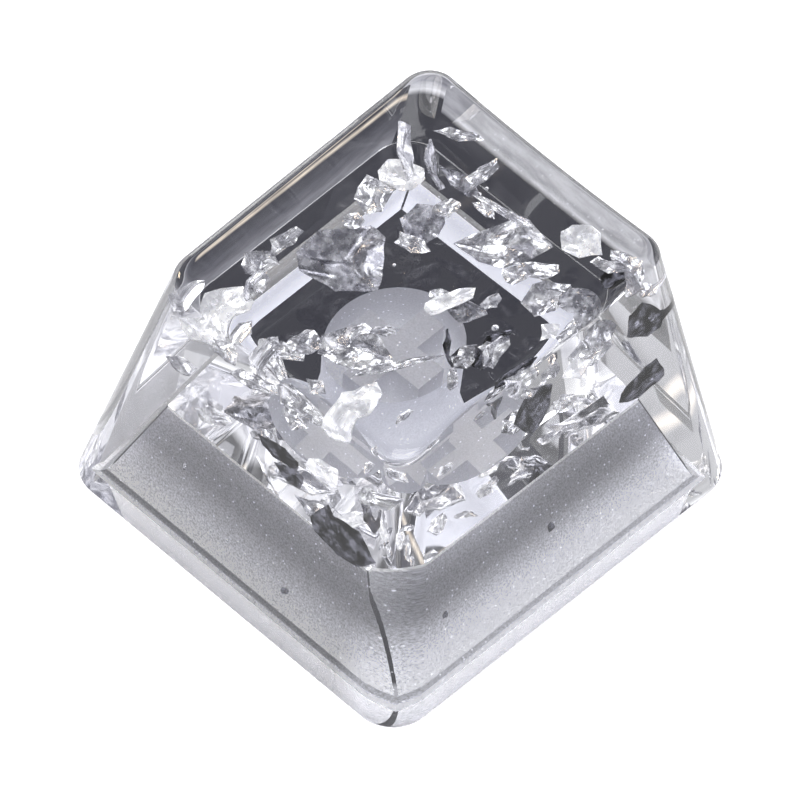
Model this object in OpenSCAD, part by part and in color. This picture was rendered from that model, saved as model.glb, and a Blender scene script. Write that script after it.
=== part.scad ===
// A one-piece keycap cast in clear resin, with crumpled silver foil sealed in its crown.
// Millimetres. The origin is on the stem's axis in the plane of the rim, +Z is up and the
// side that faces the typist is -Y.

/* [Rim] */
// Width of the cap at the rim, left to right
rim_width = 17.85; // [17:0.05:19]
// Depth of the cap at the rim, front to back
rim_depth = 18.15; // [17.9:0.05:19]
// Radius of the four upright corners at the rim
rim_corner = 1.6; // [1:0.1:3]
// Rounding of the rim's outer edge
rim_rounding = 0.45; // [0.1:0.05:0.6]

/* [Top] */
// Width of the top face, left to right
top_width = 12.55; // [11:0.05:14]
// Depth of the top face, front to back
top_depth = 13.6; // [12:0.1:15]
// How far the top face is set back from the middle of the rim
top_setback = 0.95; // [0:0.05:1.5]
// Radius of the four upright corners at the top
top_corner = 1.3; // [0.8:0.1:3]
// Rounding of the top face's edge
top_rounding = 0.4; // [0.1:0.05:0.7]
// Height of the top face at its front edge
front_height = 11.35; // [10:0.05:12]
// Height of the top face at its back edge
back_height = 12.1; // [11:0.05:13]
// Depth of the finger dish, which runs front to back
dish_depth = 0.3; // [0.1:0.05:0.8]

/* [Cavity] */
// Width of the cavity just above its lead-in
cavity_width = 14.5; // [14:0.1:15]
// Depth of the cavity just above its lead-in, front to back
cavity_depth = 14.5; // [14:0.1:15]
// Width of the cavity's flat ceiling
ceiling_width = 10.6; // [10:0.1:12]
// Depth of the cavity's flat ceiling, front to back
ceiling_depth = 11.7; // [11:0.1:12.5]
// Height of the cavity's ceiling above the rim
ceiling_height = 4.75; // [4.2:0.05:5.5]
// How far the lead-in widens the mouth on each side
lead_in = 0.45; // [0.2:0.05:0.6]
// Height of the lead-in
lead_in_height = 0.3; // [0.1:0.05:0.6]

/* [Stem] */
// Diameter of the stem
stem_diameter = 5.4; // [5:0.1:6]
// How far the stem's end stays above the rim
stem_recess = 0.6; // [0:0.1:1.5]
// Bevel round the stem's end
stem_bevel = 0.2; // [0.05:0.05:0.4]
// Length of the cross socket's two slots
socket_length = 4.1; // [3.9:0.05:4.4]
// Width of the slot that runs front to back
socket_slot_y = 1.15; // [1:0.05:1.4]
// Width of the slot that runs left to right
socket_slot_x = 1.3; // [1:0.05:1.5]
// Depth of the cross socket
socket_depth = 3.7; // [3:0.1:4]

/* [Foil] */
// Size of the foil flakes, as a share of the size each one is listed with
flake_scale = 1; // [0.6:0.05:1.1]
// Thickness of the folded foil
foil_thickness = 0.08; // [0.05:0.01:0.15]
// Least resin between a flake and any surface
foil_cover = 0.25; // [0.15:0.05:0.4]
// Height of the crumples in a flake, as a share of its width
foil_crumple = 0.06; // [0:0.01:0.15]

/* [Hidden] */
front_y = top_setback - top_depth / 2;
back_y = top_setback + top_depth / 2;
dish_radius = (pow(top_width / 2, 2) + pow(dish_depth, 2)) / (2 * dish_depth);

// Points along one corner, along one side, round an edge, and rings across the dish
corner_steps = 6;
side_steps = 8;
edge_steps = 4;
dish_steps = 5;
round_steps = 96;

// How far the cutting forms run on below the face that they open
cut_past = 1;
// How far the stem runs into the crown, so that the two are one solid
stem_run_in = foil_cover / 2;

// Points round a flake, and how far each may stray along the outline, as a share of a step
flake_points = 8;
flake_stray = 0.4;
// Where a flake's inner ring of creases runs, as a share of its radius
crease_ring = 0.55;
// Random seeds: the first of the small flakes, of the specks and of the crumples
chip_seed = 50;
speck_seed = 80;
crumple_seed = 100;
// The pose and form of the specks, which are too small to be listed one by one
speck_tilt = 60;
speck_fold = 0.1;
speck_ragged = 0.4;

// The large flakes. Each row is
// [across, along, up, length, width, turn, tilt, fold, ragged].
// across and along run from -1 to 1 over the crown, left to right and front to back. up
// runs from 0 at the ceiling to 1 at the top face, and below 0 into the skirt's wall.
// fold is the rise of the two wings, ragged the share of its radius that the torn
// outline may lose.
FLAKES = [
    [0.75, -1, -0.1, 3.6, 2.1, 5, 80, 0.05, 0.25],
    [0.55, 0.15, 0.1, 3, 2.4, 90, 80, 0.1, 0.55],
    [1, 0.85, 0.15, 3, 1.7, 90, 80, 0.1, 0.3],
    [0.85, 1, 0.55, 2, 1.7, 75, 60, 0.1, 0.25],
    [-0.9, -0.9, 0.6, 2.6, 1.5, 50, 8, 0.1, 0.2],
    [-1, -1, 0.85, 1.4, 1, 80, 30, 0.2, 0.4],
    [-0.6, -1, 0.75, 2, 1.3, 20, 35, 0.25, 0.5],
    [-0.95, -0.5, 0.65, 2, 1.3, 60, 30, 0.25, 0.45],
    [-0.9, -0.35, 0.85, 2.2, 1.1, 75, 25, 0.2, 0.5],
    [-0.8, 0, 0.3, 4.2, 3.9, 70, 10, 0.1, 0.3],
    [-0.8, 0.35, 0.75, 1.8, 1.7, 20, 20, 0.15, 0.3],
    [-0.8, 0.6, 0.65, 2, 1.6, 30, 5, 0.05, 0.15],
    [-1, 0.75, 0.85, 3.2, 1.1, 140, 50, 0.1, 0.4],
    [-0.8, 0.85, 0.3, 3, 1.1, 150, 65, 0.15, 0.3],
    [-0.7, 1, 0.95, 2.1, 0.6, 35, 30, 0.2, 0.4],
    [-0.45, 0.75, 0.75, 2.6, 0.9, 5, 30, 0.1, 0.45],
    [-0.3, 0.9, 0.85, 2.4, 0.7, 90, 15, 0.1, 0.3],
    [0.05, 0.7, 0.95, 3.4, 0.4, 10, 10, 0.05, 0.2],
    [0.15, 1, 0.45, 4.6, 3, 50, 10, 0.1, 0.4],
    [0.6, 1, 0.9, 2.1, 1.5, 10, 35, 0.3, 0.3],
    [0.9, 0.9, 0.95, 1.7, 0.7, 30, 30, 0.15, 0.4],
    [0.65, 0.7, 0.35, 2.4, 1.8, 45, 25, 0.2, 0.45],
    [0.85, 0.65, 0.75, 1.6, 1.3, 60, 45, 0.1, 0.2],
    [0.25, 0.1, 0.75, 2.5, 0.9, 75, 5, 0.05, 0.25],
    [0.25, 0.25, 0.3, 2.2, 1.5, 20, 40, 0.2, 0.4],
    [0.45, -0.1, 0.45, 2.3, 0.7, 145, 70, 0.2, 0.3],
    [0.45, 0.05, 0.15, 1.6, 1.1, 60, 35, 0.2, 0.4],
    [-0.1, -0.5, 0.2, 3.8, 3.2, 60, 12, 0.1, 0.5],
    [0.4, -0.6, 0.75, 4.2, 0.4, 60, 15, 0.1, 0.3],
    [0.4, -0.85, 0.7, 2.2, 1.6, 85, 5, 0.1, 0.3],
    [0.4, -0.95, 0.35, 2.1, 1.5, 40, 5, 0.1, 0.3],
    [-0.35, -0.8, 0.5, 3, 0.9, 25, 30, 0.15, 0.4],
    [-0.45, 0.5, 0.4, 2.7, 1.8, 100, 30, 0.15, 0.4],
    [0.75, 0, 0.8, 2.2, 1.2, 100, 60, 0.2, 0.35],
    [0.1, -1, 0.4, 2.6, 1, 0, 80, 0.1, 0.4],
    [0.9, 0.4, 0.6, 1.5, 1.2, 40, 5, 0.1, 0.25],
    [0.2, -1, 0.25, 1.8, 0.9, 10, 70, 0.2, 0.4],
    [-0.5, -1, 0.1, 1.8, 1, 30, 50, 0.25, 0.45]
];

// The small flakes, in the same form, which share one node
CHIPS = [
    [-0.65, 0.1, 0.75, 1, 0.8, 30, 10, 0.1, 0.2],
    [-0.1, 0.65, 0.8, 1.3, 0.5, 5, 10, 0.1, 0.3],
    [0.4, 0.5, 0.75, 1.2, 1, 50, 5, 0.1, 0.2],
    [0.1, 0.15, 0.5, 1, 0.9, 40, 5, 0.1, 0.2],
    [0.6, 0.1, 0.5, 1.4, 0.5, 50, 20, 0.2, 0.4],
    [0.7, -0.3, 0.75, 1.2, 0.5, 135, 15, 0.1, 0.3],
    [0.05, -0.25, 0.55, 1.6, 0.6, 40, 60, 0.2, 0.4],
    [-0.15, -0.8, 0.85, 1.4, 1.2, 60, 5, 0.1, 0.25],
    [0.05, -0.8, 0.5, 1.3, 0.9, 20, 30, 0.2, 0.4],
    [-0.3, -1, 0.85, 1.5, 1, 120, 40, 0.25, 0.5],
    [-0.3, 0.55, 0.75, 1.2, 0.8, 70, 5, 0.1, 0.2],
    [0.9, 0.2, 0.5, 1.2, 0.5, 60, 70, 0.2, 0.3],
    [0.5, -0.5, 0.35, 1, 0.5, 90, 75, 0.2, 0.4],
    [0.2, -1, 0.8, 1, 0.6, 70, 30, 0.2, 0.4],
    [0.75, 0.3, 0.3, 1.2, 0.9, 70, 45, 0.2, 0.4],
    [0.8, -0.95, 0.5, 1.5, 1, 45, 50, 0.25, 0.4],
    [0.9, -0.75, 0.25, 1.3, 0.9, 100, 50, 0.25, 0.4],
    [-0.75, -0.7, 0.8, 1.6, 1, 110, 30, 0.2, 0.5],
    [0.5, 0.65, 0.75, 2.1, 1, 45, 15, 0.1, 0.35],
    [0.85, 1, 0.8, 1.5, 0.7, 20, 20, 0.15, 0.3],
    [-0.85, -1, 0.35, 1.7, 1.1, 40, 25, 0.2, 0.4],
    [-0.1, -0.8, 0.15, 1.5, 1.2, 100, 20, 0.2, 0.4],
    [-0.3, 0.25, 0.7, 1.7, 0.9, 20, 15, 0.1, 0.4],
    [0.25, 0.4, 0.2, 1.2, 0.8, 80, 50, 0.2, 0.4],
    [0.85, -0.35, 0.2, 1.3, 0.8, 80, 60, 0.2, 0.4]
];

// The specks in the skirt. Each row is [face, along, height, length], where face 0 is the
// front wall and 1 the right wall, and along runs from -1 to 1 over that wall.
SPECKS = [
    [0, 0.35, 2, 0.4],
    [0, -0.6, 3.6, 0.35],
    [1, 0.05, 3.2, 0.45],
    [1, -0.8, 3, 0.35]
];

function lerp(a, b, t) = a + (b - a) * t;

// One flake's two-digit node name, such as foil_flake_01
function flake_name(i) = str("foil_flake_", i < 9 ? "0" : "", i + 1);

// Height of the dished top face over a point
function dish_drop(x) =
    sqrt(pow(dish_radius, 2) - pow(x, 2)) - sqrt(pow(dish_radius, 2) - pow(top_width / 2, 2));
function top_height(x, y) =
    lerp(front_height, back_height, (y - front_y) / top_depth) - dish_drop(x);

// Outline of a rectangle with round corners, run anticlockwise from its front right corner
function rounded_outline(half_x, low_y, high_y, r) =
    let (
        across = half_x - r,
        centres = [
            [across, low_y + r],
            [across, high_y - r],
            [-across, high_y - r],
            [-across, low_y + r]
        ],
        corner = function (k, a) centres[k % 4] + r * [cos(a), sin(a)]
    )
    [
        for (k = [0:3])
            for (j = [0:corner_steps + side_steps - 1])
                j <= corner_steps
                    ? corner(k, 90 * (k - 1 + j / corner_steps))
                    : lerp(corner(k, 90 * k), corner(k + 1, 90 * k), (j - corner_steps) / side_steps)
    ];

// The wall's outline at the rim and at the top face, moved in by an inset
function rim_ring(inset) = [
    for (p = rounded_outline(
        rim_width / 2 - inset, inset - rim_depth / 2, rim_depth / 2 - inset, rim_corner - inset
    )) [p.x, p.y, 0]
];
function top_ring(inset) = [
    for (p = rounded_outline(
        top_width / 2 - inset, front_y + inset, back_y - inset, top_corner - inset
    )) [p.x, p.y, top_height(p.x, p.y)]
];

// A ring part way up the straight wall
function wall_ring(inset, t) =
    let (low = rim_ring(inset), high = top_ring(inset))
    [for (i = [0:len(low) - 1]) lerp(low[i], high[i], t)];

// A ring of the dished top face, shrunk towards the middle
function dish_ring(s) = [
    for (p = top_ring(top_rounding))
        let (x = p.x * s, y = lerp(top_setback, p.y, s))
        [x, y, top_height(x, y)]
];

// All rings of the outer skin from the rim up, with both edges rounded
function skin_rings() = concat(
    [
        for (j = [0:edge_steps])
            let (a = 90 * j / edge_steps)
            wall_ring(rim_rounding * (1 - sin(a)), rim_rounding * (1 - cos(a)) / front_height)
    ],
    [
        for (j = [0:edge_steps])
            let (a = 90 * j / edge_steps)
            wall_ring(top_rounding * (1 - cos(a)), 1 - top_rounding * (1 - sin(a)) / front_height)
    ],
    [for (j = [1:dish_steps - 1]) dish_ring(1 - j / dish_steps)]
);

// The outer form as one closed loft through the rings
module outer_form() {
    rings = skin_rings();
    n = len(rings[0]);
    top = len(rings) - 1;
    middle = n * (top + 1);
    polyhedron(
        points = concat(
            [for (r = rings) each r],
            [[0, top_setback, top_height(0, top_setback)], [0, 0, 0]]
        ),
        faces = concat(
            [for (i = [0:n - 1]) [i, (i + 1) % n, middle + 1]],
            [
                for (j = [0:top - 1])
                    for (i = [0:n - 1])
                        let (a = j * n + i, b = j * n + (i + 1) % n)
                        each [[a, a + n, b + n], [a, b + n, b]]
            ],
            [for (i = [0:n - 1]) [top * n + (i + 1) % n, top * n + i, middle]]
        ),
        convexity = 4
    );
}

// A straight-sided hopper between two rectangles, one above the other
module hopper(low_size, low_z, high_size, high_z) {
    corners = [[-1, -1], [1, -1], [1, 1], [-1, 1]];
    polyhedron(
        points = concat(
            [for (c = corners) [c.x * low_size.x / 2, c.y * low_size.y / 2, low_z]],
            [for (c = corners) [c.x * high_size.x / 2, c.y * high_size.y / 2, high_z]]
        ),
        faces = [
            [0, 1, 2, 3], [7, 6, 5, 4],
            [0, 4, 5, 1], [1, 5, 6, 2], [2, 6, 7, 3], [3, 7, 4, 0]
        ]
    );
}

// The drafted hollow, with a lead-in round its mouth that runs on below the rim
module cavity() {
    size = [cavity_width, cavity_depth];
    flare = 2 * lead_in * (lead_in_height + cut_past) / lead_in_height;
    hopper(size, lead_in_height, [ceiling_width, ceiling_depth], ceiling_height);
    hopper(size + [flare, flare], -cut_past, size, lead_in_height);
}

// The round stem, bevelled at its end and run a little way into the crown
module stem_post() {
    r = stem_diameter / 2;
    rotate_extrude($fn = round_steps)
        polygon([
            [0, stem_recess],
            [r - stem_bevel, stem_recess],
            [r, stem_recess + stem_bevel],
            [r, ceiling_height + stem_run_in],
            [0, ceiling_height + stem_run_in]
        ]);
}

// The cross that the switch's stem presses into
module cross_socket() {
    translate([-socket_length / 2, -socket_slot_x / 2, stem_recess - cut_past])
        cube([socket_length, socket_slot_x, socket_depth + cut_past]);
    translate([-socket_slot_y / 2, -socket_length / 2, stem_recess - cut_past])
        cube([socket_slot_y, socket_length, socket_depth + cut_past]);
}

// Half width, and the front and back of the outer wall, at a height
function wall_x(z) = lerp(rim_width, top_width, z / front_height) / 2;
function wall_front(z) = lerp(-rim_depth / 2, front_y, z / front_height);
function wall_back(z) = lerp(rim_depth / 2, back_y, z / front_height);

// How far a listed flake reaches across, along and up from its middle, as it lies
function flake_reach(row) =
    let (
        half = flake_scale * row[3] / 2,
        side = flake_scale * row[4] / 2,
        rise = row[7] * half + 2 * foil_crumple * side + foil_thickness,
        level = side * cos(row[6]) + rise * sin(row[6])
    )
    [
        half * abs(cos(row[5])) + level * abs(sin(row[5])),
        half * abs(sin(row[5])) + level * abs(cos(row[5])),
        side * sin(row[6]) + rise * cos(row[6])
    ];

// The middle of a flake, kept inside the crown by its own reach and the cover
function flake_place(row) =
    let (
        reach = flake_reach(row),
        room = reach + foil_cover * [1, 1, 1],
        z = lerp(ceiling_height + room.z, front_height - dish_depth - room.z, row[2]),
        low_y = wall_front(z + reach.z) + room.y,
        high_y = wall_back(z + reach.z) - room.y
    )
    [row[0] * (wall_x(z + reach.z) - room.x), lerp(low_y, high_y, (row[1] + 1) / 2), z];

// The middle of a speck, halfway through the skirt's wall
function cavity_share(z) = (z - lead_in_height) / (ceiling_height - lead_in_height);
function speck_place(row) =
    let (
        z = row[2],
        inner_x = lerp(cavity_width, ceiling_width, cavity_share(z)) / 2,
        inner_y = lerp(cavity_depth, ceiling_depth, cavity_share(z)) / 2
    )
    row[0] == 0
        ? [row[1] * inner_x, (wall_front(z) - inner_y) / 2, z]
        : [(wall_x(z) + inner_x) / 2, row[1] * inner_y, z];

// One scrap of crumpled foil about the origin: a ragged plate with a ring of creases,
// its two ends folded up and its thickness the same all over
module foil(length, width, fold, ragged, seed) {
    n = flake_points;
    radius = rands(1 - ragged, 1, n, seed);
    lift = rands(-1, 1, 2 * n + 1, seed + crumple_seed);
    crumple = foil_crumple * width;
    flat = [
        for (share = [1, crease_ring])
            for (k = [0:n - 1])
                let (a = 360 * (k + flake_stray * lift[k]) / n)
                share * radius[k] / 2 * [length * cos(a), width * sin(a)]
    ];
    sheet = concat(
        [for (k = [0:2 * n - 1])
            [flat[k].x, flat[k].y, fold * abs(flat[k].x) + crumple * lift[k]]],
        [[0, 0, crumple * lift[2 * n]]]
    );
    m = len(sheet);
    polyhedron(
        points = concat(sheet, [for (p = sheet) p + [0, 0, foil_thickness]]),
        faces = concat(
            [for (k = [0:n - 1]) let (l = (k + 1) % n) each [
                [k, l + n, k + n], [k, l, l + n], [k + n, l + n, 2 * n],
                [m + k, m + k + n, m + l + n], [m + k, m + l + n, m + l],
                [m + k + n, m + 2 * n, m + l + n],
                [k, m + l, l], [k, m + k, m + l]
            ]]
        )
    );
}

// A listed flake where it lies in the crown
module flake(row, seed) {
    translate(flake_place(row))
        rotate([0, 0, row[5]])
            rotate([row[6], 0, 0])
                foil(row[3] * flake_scale, row[4] * flake_scale, row[7], row[8], seed);
}

module flake_at(i) {
    color("silver")
        flake(FLAKES[i], i + 1);
}

// The small scraps: those in the crown, and the specks in the skirt
module foil_chips() {
    color("silver") {
        for (i = [0:len(CHIPS) - 1])
            flake(CHIPS[i], chip_seed + i);
        for (i = [0:len(SPECKS) - 1])
            translate(speck_place(SPECKS[i]))
                rotate([speck_tilt, 0, SPECKS[i][0] * 90])
                    foil(SPECKS[i][3], SPECKS[i][3], speck_fold, speck_ragged, speck_seed + i);
    }
}

// The casting: crown, skirt and stem in one, with a fitting pocket round each scrap
module keycap_body() {
    color("lightcyan", 0.35)
        difference() {
            union() {
                difference() {
                    outer_form();
                    cavity();
                }
                stem_post();
            }
            cross_socket();
            for (i = [0:len(FLAKES) - 1])
                flake_at(i);
            foil_chips();
        }
}

keycap_body();
for (i = [0:len(FLAKES) - 1])
    flake_at(i);
foil_chips();
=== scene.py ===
# %% [markdown]
# # A clear resin keycap with silver foil in it
# The real cap is one casting. Clear resin was poured into a silicone mould, scraps of
# imitation silver leaf were laid in, and the crown was set over them. What the eye reads is
# light bent by the polished outside, greyed by the satin walls of the hollow, and thrown
# back by the foil. So the scene needs a true solid of resin, true flakes inside it, and
# something dark under the cap for the clear parts to show.

# %% Load the fixed frame
import math

import bmesh
import bpy
from mathutils import Matrix, Vector, noise


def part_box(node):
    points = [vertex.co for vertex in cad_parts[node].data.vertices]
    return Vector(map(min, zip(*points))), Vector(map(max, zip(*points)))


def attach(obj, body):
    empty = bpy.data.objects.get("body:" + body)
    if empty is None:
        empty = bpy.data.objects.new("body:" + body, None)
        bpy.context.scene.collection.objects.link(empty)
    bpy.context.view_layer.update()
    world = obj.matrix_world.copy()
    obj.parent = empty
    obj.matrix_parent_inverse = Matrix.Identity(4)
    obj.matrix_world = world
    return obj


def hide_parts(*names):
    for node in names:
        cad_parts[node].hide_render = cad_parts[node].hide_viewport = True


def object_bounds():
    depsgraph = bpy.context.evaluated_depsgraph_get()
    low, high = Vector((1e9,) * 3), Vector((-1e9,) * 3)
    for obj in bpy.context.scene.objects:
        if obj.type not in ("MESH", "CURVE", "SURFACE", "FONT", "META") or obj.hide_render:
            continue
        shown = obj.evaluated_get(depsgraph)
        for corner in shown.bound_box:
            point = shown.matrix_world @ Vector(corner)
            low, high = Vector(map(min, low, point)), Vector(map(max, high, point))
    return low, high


MM = 0.001
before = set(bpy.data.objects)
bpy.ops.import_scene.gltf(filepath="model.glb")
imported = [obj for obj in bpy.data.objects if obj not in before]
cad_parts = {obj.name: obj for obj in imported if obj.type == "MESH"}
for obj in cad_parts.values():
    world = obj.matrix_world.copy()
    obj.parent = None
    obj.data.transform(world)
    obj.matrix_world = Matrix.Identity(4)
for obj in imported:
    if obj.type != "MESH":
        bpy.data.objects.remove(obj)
cad_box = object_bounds()
bpy.ops.object.select_all(action="DESELECT")
box_in_mm = [tuple(round(c / MM, 2) for c in corner) for corner in cad_box]
print("CAD nodes:", len(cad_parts), "box in mm:", box_in_mm)

# %% [markdown]
# ## The camera
# The photograph was taken from the front right, from well above, through a long lens. The
# azimuth, elevation, roll and distance below were found by fitting the cap's outline. With
# so long a lens the edges stay nearly parallel, so the distance hardly shows, but the small
# roll does. The camera is placed by a matrix of its own three axes, which keeps the roll and
# the two small slides apart from the aim.

# %% Camera at the photograph's angle
AZIMUTH, ELEVATION, ROLL = 46.38, 52.54, -0.59
DISTANCE = 478 * MM
LENS_MM, SENSOR_MM = 586, 36
NEAREST, FARTHEST = 10 * MM, 5
AIM = Vector((0.0, 0.0, 5 * MM))
SLIDE_RIGHT, SLIDE_UP = 0.024 * MM, -0.53 * MM


def direction(azimuth, elevation):
    """The direction at an azimuth, counted from the front to the right, and an elevation."""
    a, e = math.radians(azimuth), math.radians(elevation)
    return Vector((math.sin(a) * math.cos(e), -math.cos(a) * math.cos(e), math.sin(e)))


turn = math.radians(AZIMUTH)
back = direction(AZIMUTH, ELEVATION)
level = Vector((math.cos(turn), math.sin(turn), 0.0))
right = (Matrix.Rotation(math.radians(ROLL), 3, back) @ level).normalized()
up = back.cross(right)

camera = bpy.data.objects.new("camera", bpy.data.cameras.new("camera"))
camera.data.lens = LENS_MM
camera.data.sensor_width = SENSOR_MM
camera.data.clip_start = NEAREST
camera.data.clip_end = FARTHEST
place = AIM + back * DISTANCE + right * SLIDE_RIGHT + up * SLIDE_UP
axes = Matrix((right, up, back)).transposed().to_4x4()
camera.matrix_world = Matrix.Translation(place) @ axes
bpy.context.scene.collection.objects.link(camera)
bpy.context.scene.camera = camera
print("camera at", [round(c, 4) for c in place], "right", [round(c, 4) for c in right])

# %% [markdown]
# ## Small helpers
# Colours are written as a designer would, as sRGB hex, and turned to the linear values
# that Blender's shaders work in. One helper adds a shader node with its settings and its
# links, so that a material below reads as a short list.

# %% Helpers for colour and nodes


def srgb(hex_colour):
    """An sRGB hex colour as linear RGBA."""
    channels = [int(hex_colour[i : i + 2], 16) / 255 for i in (0, 2, 4)]
    linear = [c / 12.92 if c <= 0.04045 else ((c + 0.055) / 1.055) ** 2.4 for c in channels]
    return (*linear, 1.0)


def add_node(tree, kind, links=None, inputs=None, **settings):
    """Adds a node, sets its properties and sockets, and links other nodes' outputs into it."""
    made = tree.nodes.new(kind)
    for key, value in settings.items():
        setattr(made, key, value)
    for key, value in (inputs or {}).items():
        made.inputs[key].default_value = value
    for key, source in (links or {}).items():
        tree.links.new(source, made.inputs[key])
    return made


def new_material(name):
    """An empty node material and its tree."""
    material = bpy.data.materials.new(name)
    material.use_nodes = True
    material.node_tree.nodes.clear()
    return material, material.node_tree


print("mid grey 808080 in linear light:", round(srgb("808080")[0], 3))

# %% [markdown]
# ## The floor
# The cap stands on plain white paper. Lamps strong enough to make it white by themselves
# would wash out the cap, so the paper also glows a little. Resin bends and mirrors the
# floor, and rays that reach it that way would have to find the lamps again, which shows as
# noise. Light Path tells the shader what kind of ray has met it: to one that came through
# the resin or off it, the paper is a plain backdrop of one tone.

# %% Floor
FLOOR_SIZE = 2.0
FLOOR_DROP = 0.03 * MM
FLOOR_GLOW = 0.6
BACKDROP_GLOW = 1.25


def glowing_paper(name, hex_colour, glow_strength):
    """Matt white paper with a glow of its own: to the eye, an even page with soft shadows."""
    material, tree = new_material(name)
    tone = srgb(hex_colour)
    shader = add_node(
        tree, "ShaderNodeBsdfPrincipled",
        inputs={
            "Base Color": tone, "Roughness": 0.9,
            "Emission Color": tone, "Emission Strength": glow_strength,
        },
    )
    path = add_node(tree, "ShaderNodeLightPath")
    by_way_of_resin = add_node(
        tree, "ShaderNodeMath",
        links={0: path.outputs["Is Transmission Ray"], 1: path.outputs["Is Glossy Ray"]},
        operation="MAXIMUM",
    )
    backdrop = add_node(
        tree, "ShaderNodeEmission", inputs={"Color": tone, "Strength": BACKDROP_GLOW}
    )
    seen = add_node(
        tree, "ShaderNodeMixShader",
        links={
            0: by_way_of_resin.outputs["Value"],
            1: shader.outputs["BSDF"],
            2: backdrop.outputs["Emission"],
        },
    )
    add_node(tree, "ShaderNodeOutputMaterial", links={"Surface": seen.outputs["Shader"]})
    return material


def stage_plane(name, width, depth, height, material):
    """A level plane of the studio, which isn't part of the cap."""
    bpy.ops.mesh.primitive_plane_add(size=1, location=(0, 0, height))
    plane = bpy.context.object
    plane.name = name
    plane.scale = (width, depth, 1)
    plane.data.materials.append(material)
    return plane


paper = glowing_paper("pale floor paper", "F8F8FA", FLOOR_GLOW)
stage_plane("floor", FLOOR_SIZE, FLOOR_SIZE, -FLOOR_DROP, paper)
print("floor:", paper.name, "just under the rim")

# %% [markdown]
# ## The card under the cap
# What lies under clear resin shows through it, and in the photograph the clear parts are a
# dark grey. The resin could be tinted, but then its bright edges would go grey too, so a
# dark card lies under the cap instead. Its tone is painted shade: it glows one flat dark tone
# and takes no light, for the shade under the cap. It is cut to the rim's outline, a hair
# smaller, and reaches out a little at the left and the back, where the edge of the resin would
# otherwise gather the floor's white into a ring in the crown. Its corners are rounded in edit
# mode, the far one less than the others, so that it still fills the resin's far corner.

# %% Card
CARD_DROP = 0.015 * MM
CARD_MARGIN = 0.04 * MM
CARD_OVERHANG = 0.12 * MM
CARD_CORNER, FAR_CORNER = 2.2 * MM, 1.3 * MM
CARD_CORNER_CUTS = 8


def flat_painted_shade(name, hex_colour):
    """Painted shade: a dark card that glows one flat tone, with no light falling on it."""
    material, tree = new_material(name)
    shade = add_node(tree, "ShaderNodeEmission", inputs={"Color": srgb(hex_colour)})
    add_node(tree, "ShaderNodeOutputMaterial", links={"Surface": shade.outputs["Emission"]})
    return material


def only(obj):
    """Deselects everything, then selects one object and makes it active."""
    bpy.ops.object.select_all(action="DESELECT")
    obj.select_set(True)
    bpy.context.view_layer.objects.active = obj


def round_card(radius, chosen):
    """Rounds the card's chosen corners, in edit mode."""
    form = bmesh.from_edit_mesh(card.data)
    for v in form.verts:
        v.select = chosen(v.co)
    bmesh.update_edit_mesh(card.data)
    bpy.ops.mesh.bevel(offset=radius, segments=CARD_CORNER_CUTS, affect="VERTICES")


rim_low, rim_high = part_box("keycap_body")
# The card's flat dark tone is painted shade, for the shade under the cap.
card = stage_plane(
    "card",
    rim_high[0] - rim_low[0] - CARD_MARGIN + CARD_OVERHANG,
    rim_high[1] - rim_low[1] - CARD_MARGIN + CARD_OVERHANG,
    -CARD_DROP,
    flat_painted_shade("card in painted shade", "3A3A42"),
)
card.location.x = (rim_low[0] + rim_high[0] - CARD_MARGIN - CARD_OVERHANG) / 2
card.location.y = (rim_low[1] + rim_high[1] + CARD_MARGIN + CARD_OVERHANG) / 2
only(card)
bpy.ops.object.transform_apply(location=True, rotation=False, scale=True)
bpy.ops.object.mode_set(mode="EDIT")
round_card(FAR_CORNER, lambda p: p.x < 0 < p.y)
round_card(CARD_CORNER, lambda p: p.x > 0 or p.y < 0)
bpy.ops.object.mode_set(mode="OBJECT")
print("card:", [round(d / MM, 2) for d in card.dimensions[:2]], "mm")

# %% [markdown]
# ## The studio's wall
# Clear things show their surroundings more than themselves. The world stands for the wall:
# an even pale tone, with a light patch overhead, a lighter band along the skyline, and two
# patches of shade, high at the back and around the camera. A picture of a real studio could
# be wrapped round the scene too, but plain patches are easier to move. Each is a MapRange on
# the cosine of the angle from the patch's middle, and they are added up.

# %% Wall
WALL_TONE = 0.6
TOP_GLOW, BACK_SHADE, LENS_SHADE, SKYLINE_GLOW = 0.6, -0.25, -0.35, 0.7


def patch(tree, toward, start, full, value):
    """A soft patch on the wall. Start and full are cosines of the angle from its middle."""
    facing = add_node(
        tree, "ShaderNodeVectorMath",
        links={0: tree.nodes["Texture Coordinate"].outputs["Generated"]},
        inputs={1: toward},
        operation="DOT_PRODUCT",
    )
    return add_node(
        tree, "ShaderNodeMapRange",
        links={"Value": facing.outputs["Value"]},
        inputs={"From Min": start, "From Max": full, "To Max": value},
        interpolation_type="SMOOTHSTEP",
    )


world = bpy.data.worlds.new("studio")
bpy.context.scene.world = world
world.use_nodes = True
studio = world.node_tree
studio.nodes.clear()
add_node(studio, "ShaderNodeTexCoord")
overhead = patch(studio, direction(60, 82), start=0.8, full=0.97, value=TOP_GLOW)
at_the_back = patch(studio, direction(226, 52), start=0.8, full=0.97, value=BACK_SHADE)
round_the_lens = patch(studio, back, start=0.5, full=0.95, value=LENS_SHADE)
skyline = patch(studio, direction(0, 90), start=0.45, full=0.05, value=SKYLINE_GLOW)
brightness = add_node(
    studio, "ShaderNodeMath",
    links={0: overhead.outputs["Result"]},
    inputs={1: WALL_TONE},
    operation="ADD",
)
for more in (at_the_back, round_the_lens, skyline):
    brightness = add_node(
        studio, "ShaderNodeMath",
        links={0: brightness.outputs["Value"], 1: more.outputs["Result"]},
        operation="ADD",
    )
sky = add_node(
    studio, "ShaderNodeBackground",
    links={"Strength": brightness.outputs["Value"]},
    inputs={"Color": srgb("FDFDFF")},
)
add_node(studio, "ShaderNodeOutputWorld", links={"Surface": sky.outputs["Background"]})
print("wall: tone", WALL_TONE, "and 4 patches")

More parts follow.
